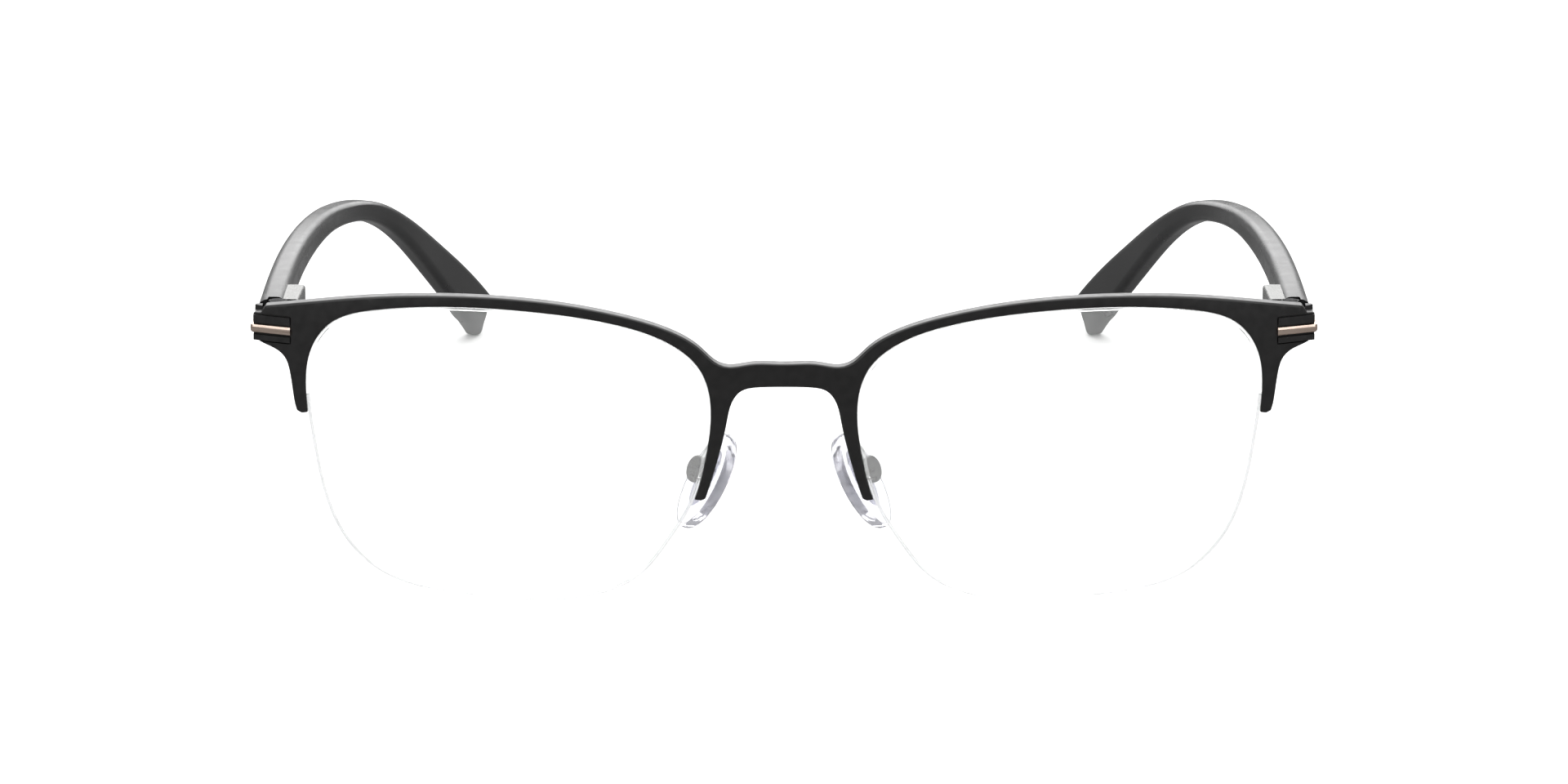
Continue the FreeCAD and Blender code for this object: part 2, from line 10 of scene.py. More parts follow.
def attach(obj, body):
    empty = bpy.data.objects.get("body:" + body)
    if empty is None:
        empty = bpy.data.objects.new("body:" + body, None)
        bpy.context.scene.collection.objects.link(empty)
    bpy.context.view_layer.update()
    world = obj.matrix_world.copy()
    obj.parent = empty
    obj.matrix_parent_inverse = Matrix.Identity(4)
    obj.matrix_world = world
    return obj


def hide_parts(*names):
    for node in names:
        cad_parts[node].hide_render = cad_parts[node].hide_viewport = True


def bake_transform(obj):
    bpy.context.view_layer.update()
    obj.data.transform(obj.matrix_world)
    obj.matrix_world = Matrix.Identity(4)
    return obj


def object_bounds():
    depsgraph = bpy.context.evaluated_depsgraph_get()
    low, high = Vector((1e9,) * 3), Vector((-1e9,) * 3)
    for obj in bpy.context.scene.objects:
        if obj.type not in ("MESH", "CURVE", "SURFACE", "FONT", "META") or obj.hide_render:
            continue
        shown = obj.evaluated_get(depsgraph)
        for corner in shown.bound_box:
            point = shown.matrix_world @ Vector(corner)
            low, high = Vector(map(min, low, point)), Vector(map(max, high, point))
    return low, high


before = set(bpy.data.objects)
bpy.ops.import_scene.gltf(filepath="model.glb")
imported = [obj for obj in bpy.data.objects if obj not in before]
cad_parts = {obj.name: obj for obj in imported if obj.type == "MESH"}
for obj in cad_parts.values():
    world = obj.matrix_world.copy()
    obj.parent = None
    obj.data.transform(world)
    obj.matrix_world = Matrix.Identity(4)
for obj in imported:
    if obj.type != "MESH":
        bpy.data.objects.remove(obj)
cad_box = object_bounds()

MM = 0.001
BACK = -0.0713     # from the foremost point of the lenses to the middle of the whole depth, in metres

# Shapes, in millimetres, with the foremost point of the lenses at y = 0 and +x to the wearer's left.
BASE_RADIUS = 120.0
EYE_CENTRE = (36.6, 20.65)
FACE_FORM = 5.0
BRIDGE_HALF = 9.0
SHEET = 1.9
FRONT_EDGE = 0.28  # rounding of the sheet's edges
LENS_OUTLINE = (
    (33.0, 0.05), (45.0, 0.8), (54.5, 3.3), (59.6, 8.4), (62.1, 14.5), (63.5, 22.0), (64.2, 28.5),
    (63.6, 33.6), (60.6, 37.9), (54.5, 40.0), (44.6, 40.9), (33.0, 40.5), (22.5, 38.9), (15.2, 36.2),
    (11.2, 32.6), (9.8, 27.0), (10.4, 21.0), (12.2, 14.3), (15.4, 8.8), (20.0, 3.3), (26.0, 0.75),
)
BROW_TOP = (
    (0.0, 33.2), (4.6, 33.25), (7.3, 32.95), (8.9, 33.45), (11.0, 35.35), (15.2, 38.0), (21.7, 40.1),
    (28.2, 41.4), (36.4, 42.25), (44.6, 42.4), (54.5, 41.8), (64.0, 40.4), (71.2, 39.12),
)
NOSE_ARCH = (
    (0.0, 30.1), (3.6, 30.05), (5.7, 29.6), (6.9, 28.2), (7.6, 25.6), (8.5, 21.6), (9.6, 17.7), (10.3, 15.5),
)
OUTER_LEG = (
    (71.2, 34.95), (70.0, 34.3), (68.2, 33.65), (67.0, 32.6), (66.4, 30.8), (66.05, 28.4), (65.75, 26.4),
)
NOSE_LEG_BOTTOM = 14.6
OUTER_LEG_BOTTOM = 25.3
CORNER_CUT = (70.25, 38.42)
GROOVE_FRONT = 0.75
GROOVE_WIDE = 0.6
RIM_GROOVE_DEEP = 0.35
CORD_END_TEMPLE_Z = 27.9
CORD_END_NOSE_Z = 17.4
CORD_END_X = (11.0, 64.0)
CORD_INSET = 0.31  # from the lens outline in to the middle of the cord
CORD_R = 0.24
PLATE_X = (66.2, 71.35)
PLATE_Z = (34.55, 38.3)
PLATE_DEEP = 0.6   # depth of the pocket that the plate lies in
CUTTER_EDGE = 0.02   # rounding of what is cut away, small enough not to show
CUTTER_REACH = 2.0   # and how far it stands out of the sheet
BAR_Z = (35.75, 36.85)
BAR_PROUD = 0.45
BAR_DEEP = 0.87    # the bar's depth along the front, and along the side
BAR_SIDE_THICK = 0.55
BAR_OUTER_X = 71.8
BAR_BACK_Y = 12.3
BAR_TURN = 0.55    # radius of the bar's turn round the corner
HINGE = (68.3, 13.3, 37.0)
TEMPLE_DROP = 4.5
HOUSING_OUTER_X = 0.6
HOUSING_Y = (1.5, 12.6)
HOUSING_HALF = 2.05
TEMPLE_STATIONS = (
    (69.1, 13.02, 36.95, 4.9, 3.70), (69.6, 30.0, 35.85, 4.6, 3.70), (69.75, 52.0, 34.6, 4.3, 3.70),
    (68.6, 76.0, 33.1, 3.8, 3.70), (66.2, 92.0, 31.5, 3.2, 3.70), (62.4, 103.5, 28.9, 3.2, 3.65),
    (58.2, 114.0, 23.2, 4.0, 3.60), (54.9, 123.0, 16.8, 5.2, 3.45), (51.8, 131.0, 10.6, 6.4, 3.25),
    (48.4, 139.9, 3.12, 7.5, 2.90),
)
TIP_END = ((0.0, 1.0, 1.0), (0.45, 0.965, 0.95), (0.85, 0.86, 0.82), (1.15, 0.68, 0.58))
SECTION_ROUND = 0.34

# Camera: where it stands, how steeply it looks down and how narrow its view is.
CAMERA_DISTANCE = 0.750
CAMERA_DOWN = 15.9
CAMERA_LENS = 129.375
CAMERA_AIM = Vector((0.0, cad_box[0][1], 0.0301))


# ---------------------------------------------------------------- materials

def new_material(name):
    """A material, its node tree and its Principled shader."""
    material = bpy.data.materials.new(name)
    material.use_nodes = True
    tree = material.node_tree
    shader = tree.nodes["Principled BSDF"]
    return material, tree, shader


def settings(shader, **values):
    for name, value in values.items():
        shader.inputs[name.replace("_", " ")].default_value = value


def noise(tree, scale, detail=4.0, stretch=(1, 1, 1)):
    """Noise in the object's own metres, stretched along its axes."""
    place = tree.nodes.new("ShaderNodeTexCoord")
    mapping = tree.nodes.new("ShaderNodeMapping")
    mapping.inputs["Scale"].default_value = stretch
    tree.links.new(place.outputs["Object"], mapping.inputs["Vector"])
    texture = tree.nodes.new("ShaderNodeTexNoise")
    texture.inputs["Scale"].default_value = scale
    texture.inputs["Detail"].default_value = detail
    tree.links.new(mapping.outputs["Vector"], texture.inputs["Vector"])
    return texture.outputs["Fac"]


def spread(tree, value, low, high, start=0.3, end=0.7):
    """Map a noise value to the range low to high."""
    node = tree.nodes.new("ShaderNodeMapRange")
    node.inputs["From Min"].default_value = start
    node.inputs["From Max"].default_value = end
    node.inputs["To Min"].default_value = low
    node.inputs["To Max"].default_value = high
    tree.links.new(value, node.inputs["Value"])
    return node.outputs["Result"]


def two_colours(tree, value, dark, light, start=0.3, end=0.7):
    ramp = tree.nodes.new("ShaderNodeValToRGB")
    ramp.color_ramp.elements[0].position = start
    ramp.color_ramp.elements[0].color = (*dark, 1)
    ramp.color_ramp.elements[1].position = end
    ramp.color_ramp.elements[1].color = (*light, 1)
    tree.links.new(value, ramp.inputs["Fac"])
    return ramp.outputs["Color"]


def bump(tree, shader, value, depth):
    """Raise the surface by up to this depth in metres."""
    node = tree.nodes.new("ShaderNodeBump")
    node.inputs["Strength"].default_value = 1.0
    node.inputs["Distance"].default_value = depth
    tree.links.new(value, node.inputs["Height"])
    tree.links.new(node.outputs["Normal"], shader.inputs["Normal"])


def satin_black():
    """Black lacquer on metal: satin, with the faint texture of a sprayed coat."""
    material, tree, shader = new_material("satin_black")
    coarse = noise(tree, 900, 3)
    fine = noise(tree, 9000, 2)
    colour = two_colours(tree, coarse, (0.0035, 0.0033, 0.0034), (0.0065, 0.0060, 0.0061))
    tree.links.new(colour, shader.inputs["Base Color"])
    tree.links.new(spread(tree, coarse, 0.30, 0.40), shader.inputs["Roughness"])
    settings(shader, Specular_IOR_Level=0.5)
    bump(tree, shader, fine, 1.2e-6)
    return material


def champagne():
    """Brushed champagne-coloured metal, brushed along the bar."""
    material, tree, shader = new_material("champagne_metal")
    grain = noise(tree, 1200, 4, (0.12, 0.12, 6))
    colour = two_colours(tree, grain, (0.52, 0.40, 0.33), (0.74, 0.61, 0.53))
    tree.links.new(colour, shader.inputs["Base Color"])
    tree.links.new(spread(tree, grain, 0.22, 0.38), shader.inputs["Roughness"])
    settings(shader, Metallic=1.0)
    bump(tree, shader, grain, 2e-6)
    return material


def plain_metal(name, dark, light, rough):
    """Bright metal with fine marks."""
    material, tree, shader = new_material(name)
    marks = noise(tree, 2500, 5, (1, 0.25, 1))
    tree.links.new(two_colours(tree, marks, dark, light), shader.inputs["Base Color"])
    tree.links.new(spread(tree, marks, rough[0], rough[1]), shader.inputs["Roughness"])
    settings(shader, Metallic=1.0)
    bump(tree, shader, marks, 1.5e-6)
    return material


def black_acetate():
    """Polished black acetate."""
    material, tree, shader = new_material("black_acetate")
    cloud = noise(tree, 260, 3)
    fine = noise(tree, 5200, 3)
    colour = two_colours(tree, cloud, (0.0035, 0.0035, 0.0038), (0.0075, 0.0075, 0.0080))
    tree.links.new(colour, shader.inputs["Base Color"])
    tree.links.new(spread(tree, cloud, 0.20, 0.28), shader.inputs["Roughness"])
    settings(shader, IOR=1.49)
    bump(tree, shader, fine, 0.7e-6)
    return material


def with_veil(tree, shader, haze, veil):
    """The clear shader with a share of scatter over it, in the plastic's own colour."""
    if veil == 0:
        return shader.outputs["BSDF"]
    scatter = tree.nodes.new("ShaderNodeBsdfDiffuse")
    scatter.inputs["Color"].default_value = tuple(shader.inputs["Base Color"].default_value)
    mix = tree.nodes.new("ShaderNodeMixShader")
    tree.links.new(spread(tree, haze, 0.92 * veil, 1.08 * veil), mix.inputs["Fac"])
    tree.links.new(shader.outputs["BSDF"], mix.inputs[1])
    tree.links.new(scatter.outputs["BSDF"], mix.inputs[2])
    return mix.outputs["Shader"]


def clear_plastic(name, tint, rough, ior, shade, veil=0.0):
    """Clear plastic: shade is what its shadow lets through, and veil what its surface scatters."""
    material, tree, shader = new_material(name)
    haze = noise(tree, 700, 3)
    tree.links.new(spread(tree, haze, rough[0], rough[1]), shader.inputs["Roughness"])
    settings(shader, Base_Color=(*tint, 1), Transmission_Weight=1.0, IOR=ior)
    path = tree.nodes.new("ShaderNodeLightPath")
    through = tree.nodes.new("ShaderNodeBsdfTransparent")
    through.inputs["Color"].default_value = (shade, shade, shade, 1)
    mix = tree.nodes.new("ShaderNodeMixShader")
    tree.links.new(path.outputs["Is Shadow Ray"], mix.inputs["Fac"])
    tree.links.new(with_veil(tree, shader, haze, veil), mix.inputs[1])
    tree.links.new(through.outputs["BSDF"], mix.inputs[2])
    tree.links.new(mix.outputs["Shader"], tree.nodes["Material Output"].inputs["Surface"])
    return material


def paint(material, *names):
    """Give CAD nodes, on both sides, this material."""
    for name in names:
        for node in (name, name + "_left", name + "_right"):
            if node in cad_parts:
                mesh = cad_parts[node].data
                mesh.materials.clear()
                mesh.materials.append(material)


def paint_nodes(materials):
    """Materials of the pieces that keep their CAD shape."""
    paint(materials["satin"], "corner_plate", "end_piece")
    dark = plain_metal("dark_steel", (0.010, 0.010, 0.011), (0.018, 0.018, 0.019), (0.55, 0.70))
    paint(dark, "hinge_screw", "front_hinge")
    paint(materials["steel"], "hinge_slider", "spring_collar", "temple_core", "pad_arm", "pad_screw")
    paint(plain_metal("gunmetal", (0.08, 0.08, 0.08), (0.13, 0.13, 0.13), (0.25, 0.40)), "pad_box")
    paint(plain_metal("nickel", (0.16, 0.16, 0.155), (0.21, 0.21, 0.205), (0.20, 0.30)), "hinge_housing")
    paint(clear_plastic("lens_resin", (0.985, 0.99, 0.985), (0.0, 0.01), 1.50, 0.96, 0.09), "lens")
    paint(clear_plastic("clear_liner", (0.95, 0.95, 0.95), (0.05, 0.12), 1.45, 0.9), "rim_liner")
    paint(clear_plastic("pad_silicone", (0.90, 0.90, 0.95), (0.03, 0.09), 1.42, 0.9, 0.06), "nose_pad")
    paint(clear_plastic("pad_insert", (0.62, 0.62, 0.68), (0.08, 0.16), 1.55, 0.9), "pad_insert")


# ---------------------------------------------------------------- curves and closed meshes, in millimetres

def end_slope(t, p):
    """Slope at the first point of the cubic through the first four."""
    return np.polyfit(t[:4] - t[0], p[:4], 3)[-2]


def smooth_curve(points, step, closed=False):
    """Points about one step apart on a smooth curve through the given ones."""
    p = np.array(points, float)
    if closed:
        p = np.vstack([p, p[:1]])
    t = np.concatenate([[0], np.cumsum(np.linalg.norm(np.diff(p[:, :3], axis=0), axis=1))])
    at = np.linspace(0, t[-1], max(2, round(t[-1] / step)) + 1)
    return curve_at(t, p, at[:-1] if closed else at, closed)


def curve_at(t, p, at, closed=False):
    """Values, at the parameters at, of the cubic spline that passes each point of p at its parameter in t."""
    h = np.diff(t)
    slope = np.diff(p, axis=0) / h[:, None]
    n = len(p)
    a = np.zeros((n, n))
    b = np.zeros_like(p)
    for i in range(1, n - 1):
        a[i, i - 1:i + 2] = h[i - 1], 2 * (h[i - 1] + h[i]), h[i]
        b[i] = 6 * (slope[i] - slope[i - 1])
    if closed:
        a[0, 0], a[0, -1] = 1, -1
        a[-1, 0] = 2 * h[0]
        a[-1, 1] = h[0]
        a[-1, -2] = h[-1]
        a[-1, -1] = 2 * h[-1]
        b[-1] = 6 * (slope[0] - slope[-1])
    else:
        a[0, :2] = 2 * h[0], h[0]
        b[0] = 6 * (slope[0] - end_slope(t, p))
        a[-1, -2:] = h[-1], 2 * h[-1]
        b[-1] = 6 * (-end_slope(-t[::-1], p[::-1]) - slope[-1])
    m = np.linalg.solve(a, b)
    i = np.clip(np.searchsorted(t, at, side="right") - 1, 0, n - 2)
    u = (at - t[i])[:, None]
    w = h[i][:, None]
    start_slope = slope[i] - w * (2 * m[i] + m[i + 1]) / 6
    return p[i] + u * start_slope + u ** 2 * m[i] / 2 + u ** 3 * (m[i + 1] - m[i]) / (6 * w)


def even_points(loop, step):
    """Points one step apart round a closed loop."""
    p = np.vstack([loop, loop[:1]])
    t = np.concatenate([[0], np.cumsum(np.linalg.norm(np.diff(p, axis=0), axis=1))])
    at = np.linspace(0, t[-1], round(t[-1] / step) + 1)[:-1]
    return np.stack([np.interp(at, t, p[:, k]) for k in range(p.shape[1])], 1)


def soften(loop, radius):
    """Round a closed outline's corners, then thin out its points where it runs straight."""
    step = 0.08
    dense = even_points(loop, step)
    reach = int(4 * radius / step)
    offsets = np.arange(-reach, reach + 1)
    weights = np.exp(-0.5 * (offsets * step / radius) ** 2)
    weights /= weights.sum()
    soft = sum(w * np.roll(dense, -k, axis=0) for k, w in zip(offsets, weights))
    ahead = np.roll(soft, -1, axis=0) - soft
    heading = np.unwrap(np.arctan2(ahead[:, 1], ahead[:, 0]))
    kept = [0]
    for i in range(1, len(soft)):
        turned = abs(heading[i] - heading[kept[-1]])
        if (i - kept[-1]) * step >= 0.8 or turned > math.radians(8):
            kept.append(i)
    return soft[kept]


def inward(loop):
    """Unit normals that point into a counterclockwise loop."""
    along = np.roll(loop, -1, axis=0) - np.roll(loop, 1, axis=0)
    along /= np.linalg.norm(along, axis=1)[:, None]
    return np.stack([-along[:, 1], along[:, 0]], 1)


def front_depth(x, z):
    """Depth of the glasses' front surface: a sphere over each eye and a smooth blend across the bridge."""
    x = np.abs(x)
    centre_x = EYE_CENTRE[0] - BASE_RADIUS * math.sin(math.radians(FACE_FORM))
    across = np.maximum(x, BRIDGE_HALF) - centre_x
    root = np.sqrt(BASE_RADIUS ** 2 - across ** 2 - (z - EYE_CENTRE[1]) ** 2)
    blend = across / root * (x ** 2 - BRIDGE_HALF ** 2) / (2 * BRIDGE_HALF)
    return BASE_RADIUS - root + np.where(x < BRIDGE_HALF, blend, 0)


def inside(loop, points):
    """Which points lie inside the loop."""
    hit = np.zeros(len(points), bool)
    x, z = points[:, 0], points[:, 1]
    for (ax, az), (bx, bz) in zip(loop, np.roll(loop, -1, axis=0)):
        crossing = (az > z) != (bz > z)
        side = (bx - ax) * (z - az) - (x - ax) * (bz - az)
        hit ^= crossing & ((side > 0) == (bz > az))
    return hit


def cap_triangles(loop, pitch):
    """Inner points and triangles that fill a flat loop: its own points come first."""
    low, high = loop.min(0), loop.max(0)
    columns = np.arange(low[0], high[0], pitch)
    rows = np.arange(low[1], high[1], pitch)
    grid = np.stack(np.meshgrid(columns, rows), -1).reshape(-1, 2)
    grid = grid[inside(loop, grid)]
    gap = np.array([np.min(np.hypot(*(loop - g).T)) for g in grid]) if len(grid) else np.zeros(0)
    grid = grid[gap > 0.55 * pitch]
    points = [Vector(p) for p in np.vstack([loop, grid])]
    edges = [(i, (i + 1) % len(loop)) for i in range(len(loop))]
    out, _, faces, _, _, _ = delaunay_2d_cdt(points, edges, [], 1, 1e-6)
    return np.array([tuple(p) for p in out]), faces


def curved_plate(loop, start, thick, edge, pitch=1.0):
    """Closed plate with rounded edges that follows the front surface, start behind it."""
    inwards = inward(loop)
    turns = 4
    rings = []
    for k in range(turns + 1):
        angle = math.pi / 2 * k / turns
        rings.append((edge * (1 - math.sin(angle)), edge * (1 - math.cos(angle))))
    rings += [(inset, thick - depth) for inset, depth in rings[turns::-1]]
    verts, faces = [], []
    n = len(loop)
    for inset, depth in rings:
        moved = loop + inwards * inset
        y = front_depth(moved[:, 0], moved[:, 1]) + start + depth
        verts += list(zip(moved[:, 0], y, moved[:, 1]))
    for r in range(len(rings) - 1):
        for i in range(n):
            j = (i + 1) % n
            faces.append((r * n + i, (r + 1) * n + i, (r + 1) * n + j, r * n + j))
    flat = loop + inwards * edge
    points, triangles = cap_triangles(flat, pitch)
    for depth, ring, turned in ((0.0, 0, False), (thick, len(rings) - 1, True)):
        extra = len(verts)
        inner = points[n:]
        y = front_depth(inner[:, 0], inner[:, 1]) + start + depth
        verts += list(zip(inner[:, 0], y, inner[:, 1]))
        for tri in triangles:
            face = [ring * n + v if v < n else extra + v - n for v in tri]
            faces.append(face[::-1] if turned else face)
    return verts, faces


def tube(path, radius, sides=14):
    """Closed round tube along a path of 3-D points."""
    path = np.array(path, float)
    along = np.gradient(path, axis=0)
    along /= np.linalg.norm(along, axis=1)[:, None]
    up = np.array([0.0, 1.0, 0.0])
    verts, faces = [], []
    for place, way in zip(path, along):
        side = np.cross(way, up)
        side /= np.linalg.norm(side)
        other = np.cross(side, way)
        for k in range(sides):
            angle = 2 * math.pi * k / sides
            verts.append(place + radius * (math.cos(angle) * side + math.sin(angle) * other))
    return close_rings(verts, len(path), sides)


def close_rings(verts, count, sides):
    """Faces of a skin over rings of equal size, closed at both ends."""
    faces = [tuple(range(sides))[::-1]]
    for r in range(count - 1):
        for k in range(sides):
            j = (k + 1) % sides
            faces.append((r * sides + k, r * sides + j, (r + 1) * sides + j, (r + 1) * sides + k))
    faces.append(tuple((count - 1) * sides + k for k in range(sides)))
    return verts, faces


def rounded_section(high, wide, radius):
    """Rounded rectangle (sideways, upwards), counterclockwise."""
    points = []
    turns = 6
    for corner, (sw, sh) in enumerate(((1, 1), (-1, 1), (-1, -1), (1, -1))):
        for k in range(turns + 1):
            angle = math.pi / 2 * (corner + k / turns)
            sideways = sw * (wide / 2 - radius) + radius * math.cos(angle)
            upwards = sh * (high / 2 - radius) + radius * math.sin(angle)
            points.append((sideways, upwards))
    return points


# ---------------------------------------------------------------- from millimetres to pieces

def flipped(verts, faces):
    """The same mesh on the other side."""
    return [(-v[0], v[1], v[2]) for v in verts], faces


def mesh_object(name, verts, faces):
    mesh = bpy.data.meshes.new(name)
    mesh.from_pydata([(v[0] * MM, v[1] * MM + BACK, v[2] * MM) for v in verts], [], [list(f) for f in faces])
    shell = bmesh.new()
    shell.from_mesh(mesh)
    bmesh.ops.recalc_face_normals(shell, faces=shell.faces)
    shell.to_mesh(mesh)
    shell.free()
    piece = bpy.data.objects.new(name, mesh)
    bpy.context.scene.collection.objects.link(piece)
    return piece


def cut_away(piece, *cutters):
    """Cut closed meshes out of a piece."""
    for cutter in cutters:
        tool = mesh_object("cutter", *cutter)
        modifier = piece.modifiers.new("cut", "BOOLEAN")
        modifier.operation = "DIFFERENCE"
        modifier.solver = "EXACT"
        modifier.object = tool
        graph = bpy.context.evaluated_depsgraph_get()
        made = bpy.data.meshes.new_from_object(piece.evaluated_get(graph))
        piece.modifiers.clear()
        piece.data = made
        bpy.data.objects.remove(tool)


def settle(piece, body, material, nodes, sharp=32):
    """Smooth shading between sharp edges, the material, the body it rides on and what it stands for."""
    mesh = piece.data
    mesh.materials.clear()
    mesh.materials.append(material)
    mesh.shade_smooth()
    mesh.set_sharp_from_angle(angle=math.radians(sharp))
    normals = piece.modifiers.new("even_normals", "WEIGHTED_NORMAL")
    normals.keep_sharp = True
    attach(piece, body)
    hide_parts(*nodes)


def both_sides(name, build, body, material, cutters=(), sharp=32):
    """Make a piece for the left side, its mirror image for the right, and settle both."""
    for side in ("left", "right"):
        parts = [build, *cutters]
        if side == "right":
            parts = [flipped(*part) for part in parts]
        piece = mesh_object(f"{name}_{side}_shape", *parts[0])
        cut_away(piece, *parts[1:])
        rider = body if body == "front" else f"{body}_{side}"
        settle(piece, rider, material, [f"{name}_{side}"], sharp)


# ---------------------------------------------------------------- the pieces

def lens_loop(grow=0.0):
    """The lens outline, moved outwards by this much."""
    loop = smooth_curve(LENS_OUTLINE, 0.8, closed=True)
    return loop - grow * inward(loop)


def bearing(point):
    """Direction from the middle of the lens."""
    return math.atan2(point[1] - EYE_CENTRE[1], point[0] - EYE_CENTRE[0])


def half_front():
    """Outline of the front's left half, from the bridge's underside round to the middle of the brow."""
    lens = smooth_curve(LENS_OUTLINE, 0.3, closed=True)
    outer = [tuple(p) for p in lens if p[0] > EYE_CENTRE[0] and p[1] > OUTER_LEG_BOTTOM]
    upper = [tuple(p) for p in lens if p[0] <= EYE_CENTRE[0] and p[1] > NOSE_LEG_BOTTOM]
    rim = sorted(outer, key=bearing) + sorted(upper, key=lambda p: bearing(p) % (2 * math.pi))
    arch = [tuple(p) for p in whole_width(NOSE_ARCH, 0.5)]
    nose_end = NOSE_ARCH[-1]
    nose_foot = [(nose_end[0] + 0.22, NOSE_LEG_BOTTOM + 0.25), (nose_end[0] + 0.75, NOSE_LEG_BOTTOM)]
    leg_end = OUTER_LEG[-1]
    leg_foot = [(leg_end[0] - 0.95, OUTER_LEG_BOTTOM), (leg_end[0] - 0.25, OUTER_LEG_BOTTOM + 0.28)]
    leg = [tuple(p) for p in smooth_curve(OUTER_LEG, 0.5)][::-1]
    brow = [tuple(p) for p in whole_width(BROW_TOP, 0.8) if p[0] < CORNER_CUT[0]][::-1]
    corner = [(BROW_TOP[-1][0], CORNER_CUT[1]), CORNER_CUT]
    return arch + nose_foot + rim[::-1] + leg_foot + leg + corner + brow


def whole_width(points, step):
    """Left half of the smooth curve that runs on across the middle of the front."""
    both = smooth_curve([(-x, z) for x, z in points[:0:-1]] + list(points), step)
    return both[both[:, 0] > 1e-6]


def front_piece(material):
    """Brow, bridge and legs in one curved sheet with rounded edges."""
    half = half_front()
    loop = np.array(half + [(-x, z) for x, z in half[::-1]])
    sheet = mesh_object("front_shape", *curved_plate(soften(loop, 0.12), 0, SHEET, FRONT_EDGE))
    groove = curved_plate(lens_loop(RIM_GROOVE_DEEP), GROOVE_FRONT, GROOVE_WIDE, CUTTER_EDGE)
    outside = PLATE_X[1] + CUTTER_REACH
    low, high = PLATE_Z
    corners = np.array([(PLATE_X[0], low), (outside, low), (outside, high), (PLATE_X[0], high)])
    pocket = curved_plate(even_points(corners, 0.6), -CUTTER_REACH, CUTTER_REACH + PLATE_DEEP, CUTTER_EDGE)
    cut_away(sheet, groove, flipped(*groove), pocket, flipped(*pocket))
    settle(sheet, "front", material, ["front_frame"])


def temple_build():
    """Temple swept through rounded sections along its bend, with a rounded tip."""
    stations = np.array(TEMPLE_STATIONS)
    gaps = np.linalg.norm(np.diff(stations[:, :3], axis=0), axis=1)
    t = np.concatenate([[0], np.cumsum(gaps)])
    at = np.linspace(0, t[-1], 81)
    places = curve_at(t, stations, at)
    ways = np.gradient(places[:, :3], at, axis=0)
    verts = []
    for place, way in zip(places, ways):
        verts += across_path(place[:3], way, place[3], place[4])
    end, way = places[-1], ways[-1] / np.linalg.norm(ways[-1])
    for gone, tall, thick in TIP_END[1:]:
        verts += across_path(end[:3] + way * gone, way, end[3] * tall, end[4] * thick)
    count = len(at) + len(TIP_END) - 1
    return close_rings(verts, count, len(verts) // count)


def across_path(place, way, high, wide):
    """Rounded section standing across a path."""
    across = np.cross(way, (0, 0, 1))
    across /= np.linalg.norm(across)
    up = np.cross(across, way)
    up /= np.linalg.norm(up)
    shape = rounded_section(high, wide, SECTION_ROUND * min(high, wide))
    return [place + across * w + up * h for w, h in shape]


def hinge_box(x, y, z):
    """Box in the hinge's own frame, carried to its place."""
    drop = math.radians(-TEMPLE_DROP)
    verts = []
    for cx, cy, cz in ((a, b, c) for a in x for b in y for c in z):
        verts.append((
            HINGE[0] + cx, HINGE[1] + cy * math.cos(drop) - cz * math.sin(drop),
            HINGE[2] + cy * math.sin(drop) + cz * math.cos(drop),
        ))
    return verts, [(0, 1, 3, 2), (4, 6, 7, 5), (0, 4, 5, 1), (2, 3, 7, 6), (0, 2, 6, 4), (1, 5, 7, 3)]


def temple_pieces(material):
    knuckle_room = hinge_box((-4, 1.4), (-3, HOUSING_Y[0] + 0.05), (-5, 5))
    housing_room = hinge_box((-4, HOUSING_OUTER_X), (0, HOUSING_Y[1]), (-HOUSING_HALF, HOUSING_HALF))
    rooms = (knuckle_room, housing_room)
    both_sides("temple", temple_build(), "temple", material, rooms, sharp=40)


def bar_build():
    """Crowned bar along the plate, turned round the front's corner and run back along its side."""
    half_high = (BAR_Z[1] - BAR_Z[0]) / 2
    middle = (BAR_Z[0] + BAR_Z[1]) / 2
    front_x = np.linspace(PLATE_X[0] + 0.05, BAR_OUTER_X - BAR_TURN, 9)
    corner_y = float(front_depth(np.array(BAR_OUTER_X), middle)) - BAR_PROUD
    way = [(x, float(front_depth(np.array(x), middle)) - BAR_PROUD, 0.0, 1.0) for x in front_x]
    start_y = way[-1][1]
    for k in range(1, 7):
        angle = math.pi / 2 * k / 6
        x = BAR_OUTER_X - BAR_TURN * (1 - math.sin(angle))
        y = start_y + (corner_y + BAR_TURN - start_y) * (1 - math.cos(angle))
        way.append((x, y, math.sin(angle), math.cos(angle)))
    way += [(BAR_OUTER_X, y, 1.0, 0.0) for y in np.linspace(corner_y + BAR_TURN, BAR_BACK_Y, 6)[1:]]
    crown = [(0.0, 0.0), (0.45, 0.02), (0.8, 0.09), (1.0, 0.22), (1.0, BAR_DEEP)]
    profile = [(-half_high * share, deep) for share, deep in crown[:0:-1]]
    profile += [(half_high * share, deep) for share, deep in crown]
    verts = []
    for x, y, out_x, out_y in way:
        for high, deep in profile:
            deep = min(deep, BAR_DEEP - (BAR_DEEP - BAR_SIDE_THICK) * out_x)
            verts.append((x - deep * out_x, y + deep * out_y, middle + high))
    return close_rings(verts, len(way), len(profile))


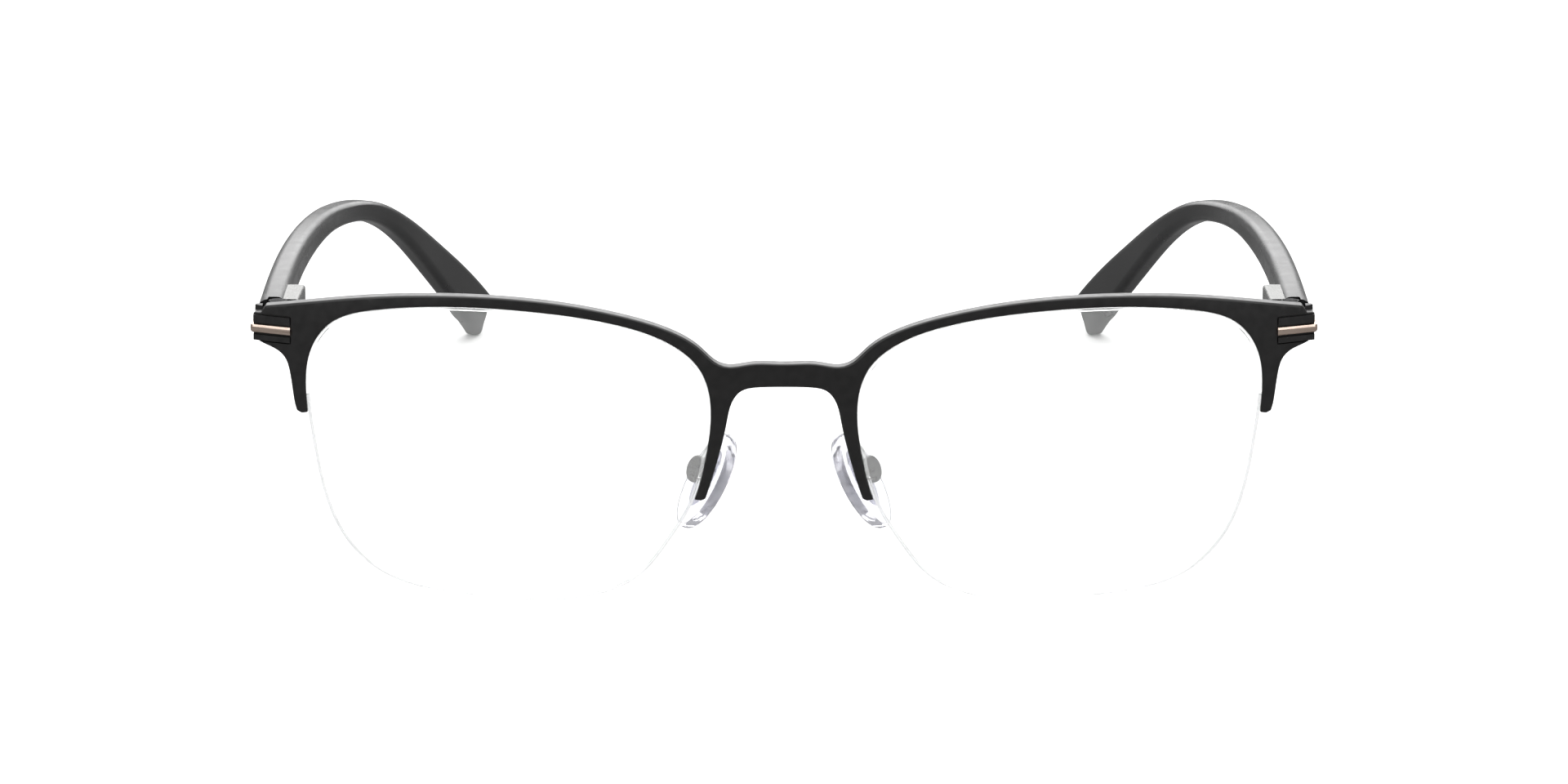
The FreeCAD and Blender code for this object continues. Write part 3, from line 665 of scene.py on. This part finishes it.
def cord_build():
    """Nylon cord in the groove round the lens's lower edge."""
    slope = (CORD_END_TEMPLE_Z - CORD_END_NOSE_Z) / (CORD_END_X[1] - CORD_END_X[0])
    loop = smooth_curve(LENS_OUTLINE, 0.4, closed=True)
    loop = loop + CORD_INSET * inward(loop)
    held = loop[:, 1] < CORD_END_NOSE_Z + slope * (loop[:, 0] - CORD_END_X[0])
    first = next(i for i in range(len(loop)) if held[i] and not held[i - 1])
    turned = np.roll(loop, -first, axis=0)[:int(held.sum())]
    depth = front_depth(turned[:, 0], turned[:, 1]) + GROOVE_FRONT + GROOVE_WIDE / 2
    return tube(np.stack([turned[:, 0], depth, turned[:, 1]], 1), CORD_R)


def spring_pieces(material):
    """Coil springs, one end on the collar and the other on the shoulder: copies of the CAD spring nodes in
    their own material.
    """
    for side, sign in (("left", 1), ("right", -1)):
        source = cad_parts["hinge_spring_" + side]
        coil = bpy.data.objects.new(f"hinge_spring_{side}_shape", source.data.copy())
        bpy.context.scene.collection.objects.link(coil)
        coil.data.materials.clear()
        coil.data.materials.append(material)
        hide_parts("hinge_spring_" + side)
        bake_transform(coil)


def make_pieces(materials):
    spring_pieces(materials["steel"])
    front_piece(materials["satin"])
    temple_pieces(materials["acetate"])
    both_sides("accent_bar", bar_build(), "front", materials["champagne"], (), 50)
    both_sides("nylon_cord", cord_build(), "front", materials["nylon"], (), 60)


# ---------------------------------------------------------------- studio

def add_camera():
    data = bpy.data.cameras.new("camera")
    data.lens = CAMERA_LENS
    data.sensor_width = 36.0
    data.clip_start = 0.01
    data.clip_end = 20.0
    camera = bpy.data.objects.new("camera", data)
    bpy.context.scene.collection.objects.link(camera)
    down = math.radians(CAMERA_DOWN)
    camera.location = CAMERA_AIM + CAMERA_DISTANCE * Vector((0, -math.cos(down), math.sin(down)))
    camera.rotation_euler = (math.pi / 2 - down, 0, 0)
    bpy.context.scene.camera = camera


def add_floor():
    """White to the eye and to lamps, and grey to what mirrors it, as a matt table in a white tent is."""
    mesh = bpy.data.meshes.new("floor")
    half = 4.0
    corners = [(-half, -half, 0), (half, -half, 0), (half, half, 0), (-half, half, 0)]
    mesh.from_pydata(corners, [], [(0, 1, 2, 3)])
    floor = bpy.data.objects.new("floor", mesh)
    bpy.context.scene.collection.objects.link(floor)
    floor.location.z = cad_box[0][2] - 0.00002
    material, tree, shader = new_material("white_floor")
    grain = noise(tree, 40, 2)
    colour = two_colours(tree, grain, (0.93, 0.93, 0.93), (0.95, 0.95, 0.95))
    tree.links.new(colour, shader.inputs["Base Color"])
    settings(shader, Roughness=0.9, Specular_IOR_Level=0.1)
    path = tree.nodes.new("ShaderNodeLightPath")
    grey = tree.nodes.new("ShaderNodeBsdfDiffuse")
    grey.inputs["Color"].default_value = (0.20, 0.20, 0.20, 1)
    mix = tree.nodes.new("ShaderNodeMixShader")
    mirrored = tree.nodes.new("ShaderNodeMath")
    mirrored.operation = "SUBTRACT"
    mirrored.use_clamp = True
    tree.links.new(path.outputs["Is Glossy Ray"], mirrored.inputs[0])
    tree.links.new(path.outputs["Is Transmission Ray"], mirrored.inputs[1])
    tree.links.new(mirrored.outputs["Value"], mix.inputs["Fac"])
    tree.links.new(shader.outputs["BSDF"], mix.inputs[1])
    tree.links.new(grey.outputs["BSDF"], mix.inputs[2])
    tree.links.new(mix.outputs["Shader"], tree.nodes["Material Output"].inputs["Surface"])
    mesh.materials.append(material)


def add_light(name, place, size, power, aim=(0, 0, 0.03)):
    data = bpy.data.lights.new(name, "AREA")
    data.shape = "RECTANGLE"
    data.size, data.size_y = size
    data.energy = power
    lamp = bpy.data.objects.new(name, data)
    bpy.context.scene.collection.objects.link(lamp)
    lamp.location = place
    lamp.rotation_euler = (Vector(aim) - Vector(place)).to_track_quat("-Z", "Y").to_euler()


def add_studio():
    world = bpy.data.worlds.new("studio")
    world.use_nodes = True
    world.node_tree.nodes["Background"].inputs["Color"].default_value = (1, 1, 1, 1)
    world.node_tree.nodes["Background"].inputs["Strength"].default_value = 0.35
    bpy.context.scene.world = world
    bpy.context.scene.view_settings.view_transform = "Standard"
    add_light("overhead", (0, -0.1, 1.5), (2.0, 1.8), 30)
    add_light("behind", (0, 1.6, 0.62), (2.4, 0.8), 16)
    add_light("behind_high", (0, 1.15, 1.15), (1.6, 0.7), 12)
    add_light("front_left", (-1.1, -1.2, 0.9), (0.8, 0.8), 5)
    add_light("front_right", (1.1, -1.2, 0.9), (0.8, 0.8), 5)


add_camera()
add_floor()
add_studio()
materials = {
    "satin": satin_black(),
    "champagne": champagne(),
    "acetate": black_acetate(),
    "steel": plain_metal("polished_steel", (0.50, 0.50, 0.51), (0.66, 0.66, 0.67), (0.18, 0.30)),
    "nylon": clear_plastic("nylon", (0.62, 0.62, 0.63), (0.05, 0.12), 1.45, 0.9),
}
make_pieces(materials)
paint_nodes(materials)
